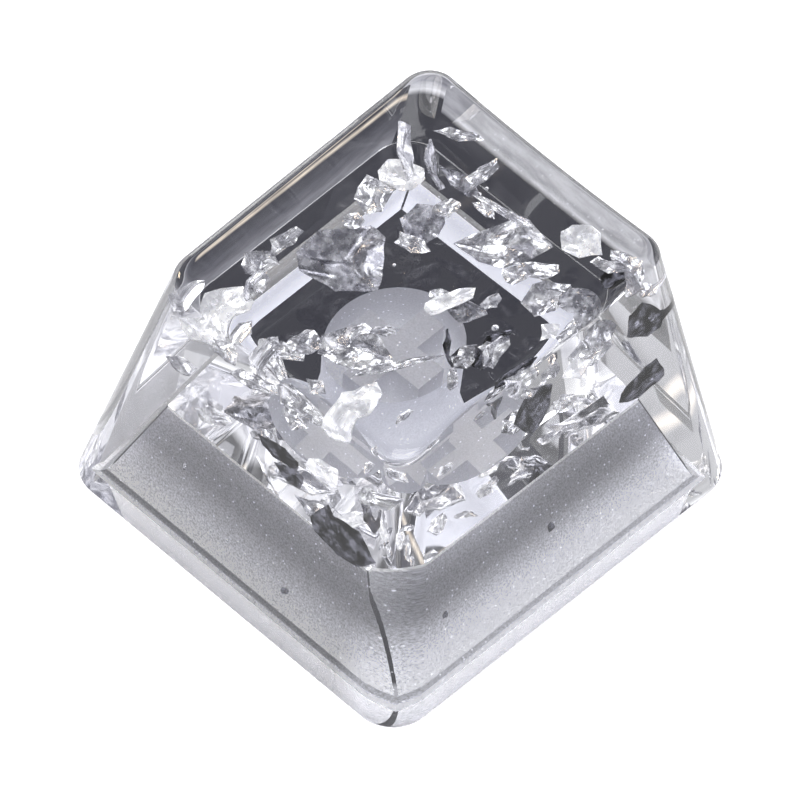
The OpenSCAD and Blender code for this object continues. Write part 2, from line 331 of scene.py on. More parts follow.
# %% [markdown]
# ## The lamps
# Three square area lamps, as soft boxes are. The key hangs high at the front and lights the
# foil from above. The one low at the back sends light up through the resin, which makes the
# hollow's frosted walls bright. A small warm one at the left gives the warm line that runs
# along that side. Light crosses the cap through many faces, so the rays may bend and bounce
# more often than Blender's default lets them, or the inside would go black.

# %% Lamps
RAY_BOUNCES, GLOSSY_BOUNCES, DIFFUSE_BOUNCES = 32, 12, 6


def soft_lamp(name, azimuth, elevation, distance, size, power, hex_colour="FFFFFF"):
    """A square area lamp that faces the cap. Distance and size are in metres."""
    toward = direction(azimuth, elevation)
    lamp = bpy.data.objects.new(name, bpy.data.lights.new(name, "AREA"))
    lamp.data.size = size
    lamp.data.energy = power
    lamp.data.color = srgb(hex_colour)[:3]
    lamp.location = AIM + toward * distance
    lamp.rotation_mode = "QUATERNION"
    lamp.rotation_quaternion = toward.to_track_quat("Z", "Y")
    bpy.context.scene.collection.objects.link(lamp)


soft_lamp("key", azimuth=20, elevation=72, distance=0.4, size=0.3, power=0.9)
soft_lamp("back", azimuth=226, elevation=6, distance=0.3, size=0.3, power=0.6)
soft_lamp(
    "warm side", azimuth=285, elevation=25, distance=0.3, size=0.05, power=0.15,
    hex_colour="FFE8C8",
)

scene = bpy.context.scene
scene.view_settings.view_transform = "Standard"
scene.cycles.max_bounces = RAY_BOUNCES
scene.cycles.transmission_bounces = RAY_BOUNCES
scene.cycles.glossy_bounces = GLOSSY_BOUNCES
scene.cycles.diffuse_bounces = DIFFUSE_BOUNCES

# %% [markdown]
# ## Polished clear resin
# The outside took the shine of a polished mould. Clear casting resin bends light about as
# acrylic does, so its IOR is 1.5. A glass shader would do, but the Principled shader with
# full transmission is used here. The faintest cool tint and smears of handling, a few
# millimetres across, keep it from looking like window glass.

# %% Clear resin
RESIN_IOR = 1.5
SMEAR = 2.5 * MM
DULLEST_SMEAR = 0.04


def clear_resin():
    """Polished cast resin: water clear and mirror smooth, but for faint smears."""
    material, tree = new_material("polished clear cast resin")
    spot = add_node(tree, "ShaderNodeTexCoord")
    smears = add_node(
        tree, "ShaderNodeTexNoise",
        links={"Vector": spot.outputs["Object"]},
        inputs={"Scale": 1 / SMEAR, "Detail": 4.0},
    )
    polish = add_node(
        tree, "ShaderNodeMapRange",
        links={"Value": smears.outputs["Fac"]},
        inputs={"From Min": 0.5, "From Max": 0.8, "To Min": 0.0, "To Max": DULLEST_SMEAR},
    )
    shader = add_node(
        tree, "ShaderNodeBsdfPrincipled",
        links={"Roughness": polish.outputs["Result"]},
        inputs={"Base Color": srgb("FBFCFF"), "IOR": RESIN_IOR, "Transmission Weight": 1.0},
    )
    add_node(tree, "ShaderNodeOutputMaterial", links={"Surface": shader.outputs["BSDF"]})
    return material


# To the eye: bright edges round a dark heart, and no colour of its own.
CLEAR = clear_resin()
print("material:", CLEAR.name)

# %% [markdown]
# ## Matt resin: the tooth
# The hollow's walls kept the tooth of the master that the mould was made from. Such a
# surface scatters light into an even grey with a sparkle. The tooth of fine abrasive paper
# is about 0.03 mm, less than a pixel here, so its bump is drawn at 0.09 mm and its light and
# dark at 0.07 mm, two to three times as coarse, to show at all. It could be cut into the
# mesh, but a bump bends the light as well and costs nothing.

# %% Tooth and tones
GRAIN, GRAIN_DEPTH = 0.09 * MM, 0.03 * MM
FROST = 0.07 * MM


def tooth(tree, spot, contrast):
    """The master's tooth, as a bump and as a grain that is lighter and darker than 1."""
    grain = add_node(
        tree, "ShaderNodeTexNoise",
        links={"Vector": spot.outputs["Object"]},
        inputs={"Scale": 1 / GRAIN, "Detail": 2.0},
    )
    bump = add_node(
        tree, "ShaderNodeBump",
        links={"Height": grain.outputs["Fac"]},
        inputs={"Strength": 0.8, "Distance": GRAIN_DEPTH},
    )
    fine = add_node(
        tree, "ShaderNodeTexNoise",
        links={"Vector": spot.outputs["Object"]},
        inputs={"Scale": 1 / FROST, "Detail": 1.0},
    )
    frost = add_node(
        tree, "ShaderNodeMapRange",
        links={"Value": fine.outputs["Fac"]},
        inputs={
            "From Min": 0.3, "From Max": 0.7, "To Min": 1 - contrast, "To Max": 1 + contrast,
        },
    )
    return bump, frost


def tones_by_height(tree, spot, tones):
    """A colour ramp that runs up the piece. Each tone comes with its height in mm."""
    top = tones[-1][0]
    height = add_node(
        tree, "ShaderNodeSeparateXYZ", links={"Vector": spot.outputs["Object"]}
    )
    rise = add_node(
        tree, "ShaderNodeMapRange",
        links={"Value": height.outputs["Z"]},
        inputs={"From Max": top * MM},
    )
    ramp = add_node(tree, "ShaderNodeValToRGB", links={"Fac": rise.outputs["Result"]})
    stops = ramp.color_ramp.elements
    for mm, tone in tones[1:-1]:
        stops.new(mm / top).color = srgb(tone)
    stops[0].color = srgb(tones[0][1])
    stops[-1].color = srgb(tones[-1][1])
    return ramp


print("tooth drawn at", round(GRAIN / MM, 2), "mm, frost at", round(FROST / MM, 2), "mm")

# %% [markdown]
# ## Matt resin: shade and light
# Light that enters the cap is handed on from wall to wall, more often than a render can
# follow. Two patterns stand in for that. One shades the far walls where they are seen
# through the resin behind them. The other is a faint glow: of the wall's air side, of the
# foot of the wall at the light side, and of pits 0.1 mm wide and 0.32 mm apart, which catch
# the light as sparks. Backfacing tells from which side a wall is met, so the pattern
# belongs to the wall and not to the camera.

# %% Shade and light in the hollow
AWAY = direction(226, 0)
FAR_START, FAR_FULL = 0.8 * MM, 2.8 * MM
LIT_START, LIT_FULL = 4.8 * MM, 6.4 * MM
FAINTEST_LIT = 0.15
FOOT_START, FOOT_FULL = 3.4 * MM, 1.0 * MM
PIT_SPACING = 0.32 * MM
SPARK = 0.6


def far_shade(tree, spot, side, far_share):
    """Is 1, but falls to a share on the far walls where they are met from the resin."""
    away = add_node(
        tree, "ShaderNodeVectorMath",
        links={0: spot.outputs["Object"]},
        inputs={1: AWAY},
        operation="DOT_PRODUCT",
    )
    depth = add_node(
        tree, "ShaderNodeMapRange",
        links={"Value": away.outputs["Value"]},
        inputs={"From Min": FAR_START, "From Max": FAR_FULL, "To Max": 1 - far_share},
        interpolation_type="SMOOTHSTEP",
    )
    hidden = add_node(
        tree, "ShaderNodeMath",
        links={0: depth.outputs["Result"], 1: side.outputs["Backfacing"]},
        operation="MULTIPLY",
    )
    return add_node(
        tree, "ShaderNodeMath",
        links={1: hidden.outputs["Value"]},
        inputs={0: 1.0},
        operation="SUBTRACT",
    )


def foot_light(tree, spot, foot_glow):
    """The glow at the foot of the wall, strongest where the wall faces the light side."""
    split = add_node(tree, "ShaderNodeSeparateXYZ", links={"Vector": spot.outputs["Object"]})
    lit_side = add_node(
        tree, "ShaderNodeMapRange",
        links={"Value": split.outputs["X"]},
        inputs={
            "From Min": LIT_START, "From Max": LIT_FULL, "To Min": FAINTEST_LIT, "To Max": 1.0,
        },
        interpolation_type="SMOOTHSTEP",
    )
    lit_foot = add_node(
        tree, "ShaderNodeMapRange",
        links={"Value": split.outputs["Z"]},
        inputs={"From Min": FOOT_START, "From Max": FOOT_FULL, "To Max": foot_glow},
        interpolation_type="SMOOTHSTEP",
    )
    return add_node(
        tree, "ShaderNodeMath",
        links={0: lit_side.outputs["Result"], 1: lit_foot.outputs["Result"]},
        operation="MULTIPLY",
    )


def side_light(tree, spot, side, resin_glow, air_glow):
    """The glow of the wall's two sides, with sparks where the pits are."""
    passed = add_node(
        tree, "ShaderNodeMapRange",
        links={"Value": side.outputs["Backfacing"]},
        inputs={"To Min": air_glow, "To Max": resin_glow},
    )
    pits = add_node(
        tree, "ShaderNodeTexVoronoi",
        links={"Vector": spot.outputs["Object"]},
        inputs={"Scale": 1 / PIT_SPACING},
    )
    sparks = add_node(
        tree, "ShaderNodeMapRange",
        links={"Value": pits.outputs["Distance"]},
        inputs={"From Min": 0.15, "From Max": 0.08, "To Max": SPARK},
    )
    return add_node(
        tree, "ShaderNodeMath",
        links={0: passed.outputs["Result"], 1: sparks.outputs["Result"]},
        operation="ADD",
    )


print("far walls shaded from", round(FAR_START / MM, 1), "to", round(FAR_FULL / MM, 1), "mm")

# %% [markdown]
# ## Matt resin: three finishes
# The walls of the hollow are satin and pass much of the light. Their tones run up the
# height as painted light and shade: a dark line at the lead-in near the rim, pale above
# it, greyer towards the ceiling and a painted highlight at its very edge. The stem and its
# socket were sanded, and pass less; their tone is painted darker towards the top. The seams
# are where two walls meet in a corner, too tight for light to reach, so each is a dark line.
# All three are one recipe with other numbers.

# %% Satin, sanded and seam


def matt_resin(
    name, tones, clear_share, resin_glow, air_glow, foot_glow, far_share, contrast
):
    """Cast resin with the master's fine tooth, which frosts it."""
    material, tree = new_material(name)
    spot = add_node(tree, "ShaderNodeTexCoord")
    side = add_node(tree, "ShaderNodeNewGeometry")
    bump, frost = tooth(tree, spot, contrast)
    # The tones by height paint light and shade onto the walls.
    tint = tones_by_height(tree, spot, tones)
    kept = far_shade(tree, spot, side, far_share)
    shading = add_node(
        tree, "ShaderNodeMath",
        links={0: kept.outputs["Value"], 1: frost.outputs["Result"]},
        operation="MULTIPLY",
    )
    tone = add_node(
        tree, "ShaderNodeVectorMath",
        links={0: tint.outputs["Color"], "Scale": shading.outputs["Value"]},
        operation="SCALE",
    )
    foot = foot_light(tree, spot, foot_glow)
    grainy_foot = add_node(
        tree, "ShaderNodeMath",
        links={0: foot.outputs["Value"], 1: frost.outputs["Result"]},
        operation="MULTIPLY",
    )
    sides = side_light(tree, spot, side, resin_glow, air_glow)
    light = add_node(
        tree, "ShaderNodeMath",
        links={0: sides.outputs["Value"], 1: grainy_foot.outputs["Value"]},
        operation="ADD",
    )
    shader = add_node(
        tree, "ShaderNodeBsdfPrincipled",
        links={
            "Normal": bump.outputs["Normal"],
            "Base Color": tone.outputs["Vector"],
            "Emission Strength": light.outputs["Value"],
        },
        inputs={
            "Roughness": 0.6, "IOR": RESIN_IOR, "Transmission Weight": clear_share,
            "Emission Color": srgb("F4F5FF"),
        },
    )
    add_node(tree, "ShaderNodeOutputMaterial", links={"Surface": shader.outputs["BSDF"]})
    return material


# To the eye: frosted glass with light behind it, an even grey with a fine sparkle.
# Tones by height are painted light and shade, with a painted highlight at the ceiling's edge.
SATIN = matt_resin(
    "satin cast resin",
    tones=[
        (0, "FFFFFF"), (0.12, "F4F4F8"), (0.16, "74747A"), (0.28, "56565C"),
        (0.32, "FFFFFF"), (1.5, "DADAE0"), (2.9, "9A9AA2"), (3.75, "94949C"),
        (4.625, "B4B4BC"), (4.665, "FFFFFF"), (5, "FFFFFF"),
    ],
    clear_share=0.4, resin_glow=0.0, air_glow=0.6, foot_glow=0.3, far_share=0.15,
    contrast=0.36,
)
# To the eye: a chalky, paler post behind the frosted wall, painted darker towards the top.
SANDED = matt_resin(
    "sanded cast resin",
    tones=[(0, "FFFFFF"), (5, "B8B8C0")],
    clear_share=0.15, resin_glow=0.08, air_glow=0.2, foot_glow=0.0, far_share=1.0,
    contrast=0.1,
)
# To the eye: a thin dark line that rises from the rim to the ceiling's corner.
SEAM = matt_resin(
    "shaded corner seam in cast resin",
    tones=[(0, "C8C8CE"), (0.6, "C8C8CE"), (0.8, "34343A"), (5, "4C4C54")],
    clear_share=0.0, resin_glow=0.0, air_glow=0.0, foot_glow=0.0, far_share=1.0,
    contrast=0.1,
)
print("materials:", [m.name for m in (SATIN, SANDED, SEAM)])

# %% [markdown]
# ## Painted light on the far faces
# Three outer faces are seen only through the whole depth of the cap: the back, the left
# side and the far corner between them. On the real one they hold bands of light that the
# crown bends down to them. Bent light that fine would need far more rays than a render has,
# so the bands are painted on as a faint glow, by height, broken up by a noise a millimetre or
# so across. The warm line on the left side and the bright corner are painted highlights. The
# faces stay as clear as the rest.

# %% Painted bands of light, warm line and glinting corner
BACK_H = 12.1
GLOW_MOTTLE = 1.2 * MM
FAINTEST_GLOW = 0.6


def painted_light_resin(name, tones):
    """Clear resin with painted bands of light, a glow by height, broken up by a noise."""
    material, tree = new_material(name)
    spot = add_node(tree, "ShaderNodeTexCoord")
    glow_noise = add_node(
        tree, "ShaderNodeTexNoise",
        links={"Vector": spot.outputs["Object"]},
        inputs={"Scale": 1 / GLOW_MOTTLE, "Detail": 5.0},
    )
    glow_share = add_node(
        tree, "ShaderNodeMapRange",
        links={"Value": glow_noise.outputs["Fac"]},
        inputs={"From Min": 0.35, "From Max": 0.65, "To Min": FAINTEST_GLOW, "To Max": 1.0},
    )
    tint = tones_by_height(tree, spot, tones)
    shader = add_node(
        tree, "ShaderNodeBsdfPrincipled",
        links={
            "Emission Strength": glow_share.outputs["Result"],
            "Emission Color": tint.outputs["Color"],
        },
        inputs={
            "Base Color": srgb("F8F8FC"), "Roughness": 0.03,
            "IOR": RESIN_IOR, "Transmission Weight": 1.0,
        },
    )
    add_node(tree, "ShaderNodeOutputMaterial", links={"Surface": shader.outputs["BSDF"]})
    return material


# Painted light: a pale, mottled glow on the back behind the crown, and nothing lower down.
GLOWING_BACK = painted_light_resin(
    "cast resin with painted bands of light",
    [(0, "000000"), (5.6, "000000"), (6.4, "D0D0D6"), (7.2, "A4A4AA"), (BACK_H, "B0B0B6")],
)
# Painted light: dark, with one painted warm highlight along the left side, above the hollow.
GLOWING_LEFT_SIDE = painted_light_resin(
    "cast resin with a painted warm highlight",
    [
        (0, "8C8C92"), (3, "5A5A60"), (6.9, "26262A"), (7.5, "FFF0DC"), (8.1, "26262A"),
        (BACK_H, "0C0C0E"),
    ],
)
# Painted highlight: a bright corner, in two bands with a grey one between.
GLINTING = painted_light_resin(
    "glinting cast resin",
    [(0, "000000"), (7.6, "000000"), (8.4, "F0F0F6"), (9.6, "90909A"), (BACK_H, "FFFFFF")],
)
print("materials:", [m.name for m in (GLOWING_BACK, GLOWING_LEFT_SIDE, GLINTING)])

# %% [markdown]
# ## Imitation silver leaf
# Such leaf is beaten aluminium, far thinner than paper. It crinkles as it is laid in, each
# facet about 0.3 mm across, with ripples of 0.2 mm between the creases. Where the resin ran
# under it or air got at it, it is dull, white or tarnished, in clouds half a millimetre
# across. Leaf could be a mirror alone, but then every flake would be as bright as the next.
# So the creases are bump, and the clouds drive its colour and its roughness. Besides the
# bright leaf there are copies with painted light: one in painted shade, one duller and in
# painted half shade, and one matt with a painted glow.

# %% Leaf
FACET, FOLD_DEPTH = 0.3 * MM, 0.06 * MM
RIPPLE, RIPPLE_DEPTH = 0.2 * MM, 0.03 * MM
CLOUD = 0.5 * MM
CLOUD_DARK, CLOUD_LIGHT = 0.42, 0.6
BRIGHTEST_POLISH = 0.1


def leaf(name, tone, crease_tone, dullest, gleam=0.0):
    """Beaten aluminium leaf, crinkled, duller and darker in clouds, with a painted glow as
    strong as gleam.
    """
    material, tree = new_material(name)
    spot = add_node(tree, "ShaderNodeTexCoord")
    creases = add_node(
        tree, "ShaderNodeTexVoronoi",
        links={"Vector": spot.outputs["Object"]},
        inputs={"Scale": 1 / FACET, "Randomness": 1.0},
        feature="DISTANCE_TO_EDGE",
    )
    ripples = add_node(
        tree, "ShaderNodeTexNoise",
        links={"Vector": spot.outputs["Object"]},
        inputs={"Scale": 1 / RIPPLE, "Detail": 3.0},
    )
    fold_bump = add_node(
        tree, "ShaderNodeBump",
        links={"Height": creases.outputs["Distance"]},
        inputs={"Strength": 0.35, "Distance": FOLD_DEPTH},
    )
    bump = add_node(
        tree, "ShaderNodeBump",
        links={"Height": ripples.outputs["Fac"], "Normal": fold_bump.outputs["Normal"]},
        inputs={"Strength": 0.2, "Distance": RIPPLE_DEPTH},
    )
    dull = add_node(
        tree, "ShaderNodeMapRange",
        links={"Value": ripples.outputs["Fac"]},
        inputs={"To Min": BRIGHTEST_POLISH, "To Max": dullest},
    )
    clouds = add_node(
        tree, "ShaderNodeTexNoise",
        links={"Vector": spot.outputs["Object"]},
        inputs={"Scale": 1 / CLOUD, "Detail": 3.0, "Roughness": 0.6},
    )
    colour = add_node(tree, "ShaderNodeValToRGB", links={"Fac": clouds.outputs["Fac"]})
    dark, light = colour.color_ramp.elements
    dark.position, dark.color = CLOUD_DARK, srgb(crease_tone)
    light.position, light.color = CLOUD_LIGHT, srgb(tone)
    shader = add_node(
        tree, "ShaderNodeBsdfPrincipled",
        links={
            "Normal": bump.outputs["Normal"],
            "Roughness": dull.outputs["Result"],
            "Base Color": colour.outputs["Color"],
        },
        inputs={"Metallic": 1.0, "Emission Color": srgb("FFFFFF"), "Emission Strength": gleam},
    )
    add_node(tree, "ShaderNodeOutputMaterial", links={"Surface": shader.outputs["BSDF"]})
    return material


# To the eye: broken mirrors, each facet white or dark by what it faces.
FOIL = leaf("crumpled aluminium leaf", "FCFCFE", "B0B0B6", dullest=0.35)
# To the eye: soft white: matt, with a painted glow.
MATT_GLOWING_FOIL = leaf("matt aluminium leaf with a painted glow", "FFFFFF", "B4B4BC", dullest=0.5, gleam=0.3)
# Painted half shade: a duller, darker copy, pewter with grey clouds.
DULLED_HALF_SHADED_FOIL = leaf("dulled aluminium leaf in painted half shade", "D4D4DA", "84848C", dullest=0.45)
# Painted shade: a dark copy, nearly black, with a few grey gleams.
SHADED_FOIL = leaf("aluminium leaf in painted shade", "74747E", "060608", dullest=0.25)
print("materials:", [m.name for m in (FOIL, MATT_GLOWING_FOIL, DULLED_HALF_SHADED_FOIL, SHADED_FOIL)])

# %% [markdown]
# ## The casting's outer form
# A sculpted cap starts as a rounded square that narrows as it rises. It is modelled the
# same way: a plane the size of the rim, its corners rounded, extruded upwards ring by ring
# and drawn in, with small steps where the rim and the crown's edge are round. A cube with
# its top scaled would be quicker, but has no rings for the round edges and the dish. Last,
# each ring is leaned back, and the crown rises to the back and sinks in the middle, as a
# finger wants it.

# %% Outer form
RIM_W, RIM_D, RIM_R = 17.68, 17.94, 1.6
TOP_W, TOP_D, TOP_BACK = 12.55, 13.6, 0.95
FRONT_H = 11.35
DISH = 0.3
RIM_ROUND, TOP_ROUND = 0.08, 0.45
CORNER_CUTS, SIDE_CUTS, EDGE_CUTS = 12, 16, 7
DISH_RINGS = 12
dish_radius = ((TOP_W / 2) ** 2 + DISH**2) / (2 * DISH)


def half_size(t):
    """Half the width and depth of the straight wall at a share t of the height."""
    return (RIM_W + (TOP_W - RIM_W) * t) / 2, (RIM_D + (TOP_D - RIM_D) * t) / 2


def skin_levels():
    """The levels of the skin as (share of the height, inset), from the rim to the dish."""
    steps = [math.radians(90 * k / EDGE_CUTS) for k in range(EDGE_CUTS + 1)]
    low = [
        (RIM_ROUND * (1 - math.cos(a)) / FRONT_H, RIM_ROUND * (1 - math.sin(a)))
        for a in steps
    ]
    high = [
        (1 - TOP_ROUND * (1 - math.sin(a)) / FRONT_H, TOP_ROUND * (1 - math.cos(a)))
        for a in steps
    ]
    across_dish = TOP_W / 2 - TOP_ROUND
    dish = [(1, TOP_ROUND + across_dish * k / DISH_RINGS) for k in range(1, DISH_RINGS)]
    return low + high + dish


def rounded_plane():
    """A plane the size of the rim, with round corners and its sides divided, in edit mode."""
    bpy.ops.object.select_all(action="DESELECT")
    bpy.ops.mesh.primitive_plane_add(size=1)
    skin = bpy.context.object
    bpy.ops.object.mode_set(mode="EDIT")
    bpy.ops.transform.resize(value=(RIM_W * MM, RIM_D * MM, 1))
    bpy.ops.mesh.bevel(offset=RIM_R * MM, segments=CORNER_CUTS, affect="VERTICES")
    form = bmesh.from_edit_mesh(skin.data)
    for edge in form.edges:
        edge.select = edge.calc_length() > RIM_R * MM * 2
    bmesh.update_edit_mesh(skin.data)
    bpy.ops.mesh.subdivide(number_cuts=SIDE_CUTS)
    bpy.ops.mesh.select_all(action="SELECT")
    return skin


def raise_rings():
    """Extrudes the plane upwards, level by level, and draws each ring in."""
    size, height = (RIM_W / 2, RIM_D / 2), 0
    for number, (t, inset) in enumerate(skin_levels()):
        wide, deep = half_size(t)
        on_dish = t == 1 and inset > TOP_ROUND
        fresh = (wide - inset, deep - (inset * deep / wide if on_dish else inset))
        fresh_height = t * FRONT_H * MM
        if number:
            step = (0, 0, fresh_height - height)
            bpy.ops.mesh.extrude_region_move(TRANSFORM_OT_translate={"value": step})
        bpy.ops.transform.resize(value=(fresh[0] / size[0], fresh[1] / size[1], 1))
        size, height = fresh, fresh_height
    bpy.ops.mesh.select_all(action="SELECT")
    bpy.ops.mesh.normals_make_consistent(inside=False)
    bpy.ops.object.mode_set(mode="OBJECT")


def lean_and_dish(skin):
    """Leans the rings back, tilts the crown and sinks the dish into it."""
    rim_drop = math.sqrt(dish_radius**2 - (TOP_W / 2) ** 2)
    for v in skin.data.vertices:
        t = v.co.z / MM / FRONT_H
        wide, deep = half_size(t)
        across, along = v.co.x / MM / wide, v.co.y / MM / deep
        drop = math.sqrt(dish_radius**2 - (across * TOP_W / 2) ** 2) - rim_drop
        top = FRONT_H + (BACK_H - FRONT_H) * (along + 1) / 2 - drop
        v.co.y += TOP_BACK * t * MM
        v.co.z = t * top * MM


cap = rounded_plane()
raise_rings()
lean_and_dish(cap)
cap_size = [round(d / MM, 2) for d in cap.dimensions]
print("outer form:", len(cap.data.polygons), "faces, box in mm", cap_size)

# %% [markdown]
# ## The hollow
# A hollow under the cap makes room for the switch, with a small flare at the rim and a
# round stem left standing in it. It could be made by insetting and extruding the underside,
# but the stem inside it is easier as a boolean: a tapered block, less a cylinder, taken out
# of the cap. The block's four upright edges get a narrow chamfer first, for the seams in
# the corners.

# %% Tools for the hollow
CAV_W, CAV_D = 14.5, 14.5
CEIL_W, CEIL_D, CEIL_H = 10.6, 11.7, 4.75
LEAD, LEAD_H = 0.45, 0.3
CORNER_SEAM = 0.06
STEM_D, STEM_Z = 5.4, 0.6
STEM_SIDES = 128
OVERCUT, STEM_LAP, FLARE_LAP = 1, 0.5, 0.001


def cut(target, tool, operation="DIFFERENCE"):
    """Applies a boolean with a tool, then removes the tool."""
    only(target)
    modifier = target.modifiers.new("cut", "BOOLEAN")
    modifier.operation = operation
    modifier.solver = "EXACT"
    modifier.object = tool
    bpy.ops.object.modifier_apply(modifier=modifier.name)
    bpy.data.objects.remove(tool, do_unlink=True)


def box_tool(foot, head):
    """A block that tapers from its foot to its head, each given as (width, depth, height)."""
    bpy.ops.object.select_all(action="DESELECT")
    bpy.ops.mesh.primitive_cube_add(size=1)
    tool = bpy.context.object
    for v in tool.data.vertices:
        x, y, z = v.co
        w, d, h = foot if z < 0 else head
        v.co = Vector((math.copysign(w / 2, x), math.copysign(d / 2, y), h)) * MM
    return tool


def cylinder_tool(diameter, low_z, high_z):
    """An upright cylinder on the cap's axis, between two heights."""
    bpy.ops.object.select_all(action="DESELECT")
    bpy.ops.mesh.primitive_cylinder_add(
        vertices=STEM_SIDES,
        radius=diameter / 2 * MM,
        depth=(high_z - low_z) * MM,
        location=(0, 0, (low_z + high_z) / 2 * MM),
    )
    return bpy.context.object


def chamfer_upright_edges(tool, width, longer_than):
    """Chamfers a block's upright edges. Edge select mode lets single edges be chosen."""
    only(tool)
    bpy.ops.object.mode_set(mode="EDIT")
    bpy.ops.mesh.select_mode(type="EDGE")
    form = bmesh.from_edit_mesh(tool.data)
    for edge in form.edges:
        low, high = edge.verts
        edge.select = abs(low.co.z - high.co.z) > longer_than
    bmesh.update_edit_mesh(tool.data)
    bpy.ops.mesh.bevel(offset=width, segments=1, affect="EDGES")
    bpy.ops.mesh.select_mode(type="VERT")
    bpy.ops.object.mode_set(mode="OBJECT")


hollow = box_tool((CAV_W, CAV_D, LEAD_H), (CEIL_W, CEIL_D, CEIL_H))
chamfer_upright_edges(hollow, CORNER_SEAM * MM, longer_than=LEAD_H * MM)
print("hollow:", len(hollow.data.polygons), "faces with its chamfers")

# %% [markdown]
# The flare is a second block that widens downwards and runs past the rim, because a boolean
# is cleanest when the tool goes right through. The stem is taken from the hollow before the
# hollow is taken from the cap, and the cross-shaped socket, for the switch's post, is two
# crossed slots cut up into the stem.

# %% Hollow, stem and socket
SOCKET_L, SLOT_Y, SLOT_X, SOCKET_DEPTH = 4.1, 1.15, 1.3, 3.7

flare = 2 * LEAD * (LEAD_H + OVERCUT) / LEAD_H
flare_tool = box_tool(
    (CAV_W + flare, CAV_D + flare, -OVERCUT), (CAV_W, CAV_D, LEAD_H + FLARE_LAP)
)
cut(hollow, flare_tool, "UNION")
cut(hollow, cylinder_tool(STEM_D, STEM_Z, CEIL_H + STEM_LAP))
cut(cap, hollow)
socket_top = STEM_Z + SOCKET_DEPTH
for width, depth in ((SOCKET_L, SLOT_X), (SLOT_Y, SOCKET_L)):
    cut(cap, box_tool((width, depth, -OVERCUT), (width, depth, socket_top)))
print("casting:", len(cap.data.polygons), "faces with the hollow, stem and socket")

# %% [markdown]
# ## Shading and finishes of the casting
# Round edges are shaded smooth and the rest flat, by the angle between faces. Weighted
# normals then let the large faces rule the shading, so the flats look flat right up to
# their round edges, which matters where light is bent by them. Each face gets its finish by
# its place and the way it faces, which is quicker than picking faces by hand and holds when
# a size changes.

# %% Shading and finishes
SMOOTH_UP_TO = 32
FLATS_WEIGHT = 100
CLOSE = 0.01

only(cap)
bpy.ops.object.shade_smooth_by_angle(angle=math.radians(SMOOTH_UP_TO))
weighted = cap.modifiers.new("even shading", "WEIGHTED_NORMAL")
weighted.keep_sharp = True
weighted.weight = FLATS_WEIGHT
bpy.ops.object.modifier_apply(modifier=weighted.name)
cap.name = "keycap_casting"


def finish_of(face):
    """The finish of one face of the casting."""
    c, facing = face.center / MM, face.normal
    in_plan = abs(c.x) < CAV_W / 2 + LEAD and abs(c.y) < CAV_D / 2 + LEAD
    inside = in_plan and CLOSE < c.z < CEIL_H + CLOSE
    on_wall = inside and LEAD_H < c.z < CEIL_H and c.xy.length > STEM_D
    if on_wall and abs(abs(facing.x) - abs(facing.y)) < 0.1:
        return SEAM
    if inside and abs(c.z - CEIL_H) >= CLOSE:
        return SANDED if math.hypot(c.x, c.y) < STEM_D / 2 + CLOSE else SATIN
    # The back, the left side and the far corner get painted bands of light.
    if facing.y > 0.98 and c.y > CAV_D / 2 + LEAD:
        return GLOWING_BACK
    if facing.x < -0.9 and c.x < -CAV_W / 2 - LEAD / 2 + c.z * 0.2 and not inside:
        return GLOWING_LEFT_SIDE
    if facing.dot(AWAY) > 0.7 and not inside and c.x < 0 < c.y:
        return GLINTING
    return CLEAR


FINISHES = [CLEAR, SATIN, SANDED, GLOWING_BACK, SEAM, GLOWING_LEFT_SIDE, GLINTING]
for finish in FINISHES:
    cap.data.materials.append(finish)
for face in cap.data.polygons:
    face.material_index = FINISHES.index(finish_of(face))
used = [face.material_index for face in cap.data.polygons]
print("faces by finish:", {f.name: used.count(i) for i, f in enumerate(FINISHES)})

# %% [markdown]
# ## Air bubbles
# A few air bubbles stayed in the resin, 0.14 to 0.28 mm across. Each is a small round hole
# in the casting, so its faces look inwards. A boolean would do, but a sphere turned inside
# out and joined to the casting's mesh is the same shape and leaves the other faces alone.

# %% Air bubbles
# Each is (x, y, z, radius) in mm.
BUBBLES = [
    (2.9, 2.3, 7.2, 0.14), (-1.6, 5.7, 8.6, 0.11), (-1.5, 6.0, 8.9, 0.08),
    (-1.8, 1.6, 7.6, 0.07), (-1.7, 0.8, 8.0, 0.08),
]
BUBBLE_SEGMENTS, BUBBLE_RINGS = 24, 16

bubbles = []
for x, y, z, radius in BUBBLES:
    bpy.ops.object.select_all(action="DESELECT")
    bpy.ops.mesh.primitive_uv_sphere_add(
        segments=BUBBLE_SEGMENTS,
        ring_count=BUBBLE_RINGS,
        radius=radius * MM,
        location=(x * MM, y * MM, z * MM),
    )
    bubble = bpy.context.object
    bpy.ops.object.transform_apply(location=True, rotation=False, scale=False)
    bpy.ops.object.shade_smooth()
    bpy.ops.object.mode_set(mode="EDIT")
    bpy.ops.mesh.select_all(action="SELECT")
    bpy.ops.mesh.normals_make_consistent(inside=True)
    bpy.ops.object.mode_set(mode="OBJECT")
    bubble.data.materials.append(CLEAR)
    bubbles.append(bubble)
only(cap)
for bubble in bubbles:
    bubble.select_set(True)
bpy.ops.object.join()
print("bubbles:", len(bubbles), "and the casting now has", len(cap.data.polygons), "faces")
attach(cap, "root")
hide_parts("keycap_body")
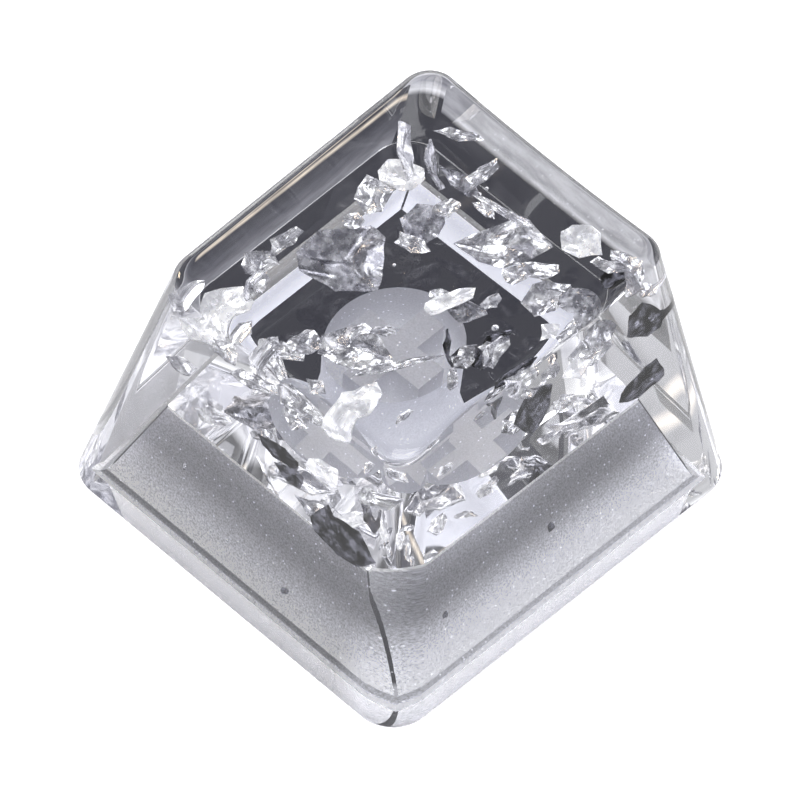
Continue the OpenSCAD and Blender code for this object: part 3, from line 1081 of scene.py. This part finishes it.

# %% [markdown]
# ## The foil
# The real cap holds some forty scraps of torn leaf, laid flat or on edge round the middle,
# and a few specks low down beside the hollow. Their places and outlines are the CAD nodes',
# so each flake starts as a copy of its node. Flat plates would look like cut card. Each is
# subdivided, its outline torn by one noise, and lifted into sharp ridges by another, along
# the way that its largest face looks. The noise is seeded, because the noise of vectors
# otherwise starts from the clock, and is read a long step further on for each flake, so
# that no two are crumpled alike. Most flakes are bright, and the rest, named below by their
# numbers, get leaf in painted shade, in painted half shade and matt with a painted glow. What
# lies low is in the shade of the hollow, so it gets the leaf in painted shade.

# %% Flakes
TEAR, TEAR_PER_MM = 0.06, 2.2
CREASE, CREASE_PER_MM = 0.16, 1.2
NOISE_SEED, NOISE_STEP = 1, 7.3
FLAKE_CUTS = 3
WELD = 1e-7
FLAKE_SMOOTH_UP_TO = 20
SPECKS_BELOW = 3.6 * MM
# These flakes get leaf in painted shade, in painted half shade, and matt with a painted glow.
SHADED_FLAKES = ("01", "02", "03", "04", "26", "35", "37")
DULLED_HALF_SHADED_FLAKES = ("10", "14", "16", "23", "25", "33")
MATT_GLOWING_FLAKES = ("05", "12", "20", "24", "30", "31", "36")
LEAF_OF = {
    **dict.fromkeys(SHADED_FLAKES, SHADED_FOIL),
    **dict.fromkeys(DULLED_HALF_SHADED_FLAKES, DULLED_HALF_SHADED_FOIL),
    **dict.fromkeys(MATT_GLOWING_FLAKES, MATT_GLOWING_FOIL),
}
noise.seed_set(NOISE_SEED)


def copy_of(node):
    """A copy of a CAD node that shows in the render, with its own mesh and no finish."""
    piece = node.copy()
    piece.data = node.data.copy()
    piece.parent = None
    piece.matrix_world = Matrix.Identity(4)
    bpy.context.scene.collection.objects.link(piece)
    piece.hide_render = False
    piece.data.materials.clear()
    return piece


def crumple(flake, number):
    """Subdivides a flake, tears its edge a little and lays sharp creases across it."""
    only(flake)
    bpy.ops.object.mode_set(mode="EDIT")
    bpy.ops.mesh.select_all(action="SELECT")
    bpy.ops.mesh.remove_doubles(threshold=WELD)
    bpy.ops.mesh.subdivide(number_cuts=FLAKE_CUTS)
    bpy.ops.object.mode_set(mode="OBJECT")
    across = max(flake.data.polygons, key=lambda p: p.area).normal.copy()
    shift = Vector((NOISE_STEP * number, 0, 0))
    for v in flake.data.vertices:
        p = v.co / MM + shift
        tear = noise.noise_vector(p * TEAR_PER_MM) * TEAR
        crease = across * abs(noise.noise(p * CREASE_PER_MM)) * CREASE
        v.co += (tear + crease) * MM
    bpy.ops.object.shade_smooth_by_angle(angle=math.radians(FLAKE_SMOOTH_UP_TO))


flake_names = sorted(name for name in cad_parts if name.startswith("foil_"))
for number, name in enumerate(flake_names):
    piece = copy_of(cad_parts[name])
    piece.name = name.replace("foil_", "leaf_")
    piece.data.materials.append(LEAF_OF.get(name[-2:], FOIL))
    # Faces low in the hollow get the leaf in painted shade.
    piece.data.materials.append(SHADED_FOIL)
    for face in piece.data.polygons:
        if face.center.z < SPECKS_BELOW:
            face.material_index = 1
    crumple(piece, number)
    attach(piece, "root")
    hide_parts(name)
print("flakes:", len(flake_names))
